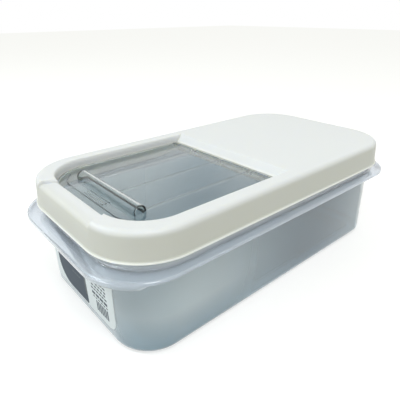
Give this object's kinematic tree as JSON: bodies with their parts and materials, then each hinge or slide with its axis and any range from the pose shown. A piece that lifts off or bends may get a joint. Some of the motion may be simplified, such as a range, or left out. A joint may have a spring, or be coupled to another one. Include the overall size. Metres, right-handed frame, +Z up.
{
  "type": "rice bin with flip lid",
  "caption": "Low rectangular food storage bin: clear tub with carrying shelf, white cap, and a clear flip lid that hinges in the cap's window.",
  "frame": {"origin": "centre of the footprint on the surface that the bin stands on", "axes": "+Z up, +Y along the bin towards the plain end of the cap, the window and the label are at the -Y end"},
  "size_m": [0.2108, 0.397, 0.12],
  "materials": {
    "clear_tub": "clear polypropylene with a faint blue haze",
    "label_paper": "coated white sticker",
    "label_ink": "dark printed panel",
    "white_cap": "satin white polypropylene",
    "clear_flip_lid": "clear polished plastic"
  },
  "bodies": {
    "tub": {"tub": "clear_tub", "front_label": "label_paper", "label_panel": "label_ink"},
    "cap": {"cap": "white_cap"},
    "flip_lid": {"flip_lid": "clear_flip_lid"}
  },
  "joints": [
    {"name": "cap_lift", "type": "slide", "parent": "tub", "child": "cap", "axis": [0, 0, 1], "range_m": [0, 0.06]},
    {"name": "flip_hinge", "type": "hinge", "parent": "cap", "child": "flip_lid", "pos_m": [0, -0.0072, 0.109], "axis": [-1, 0, 0], "range_deg": [0, 105]}
  ]
}
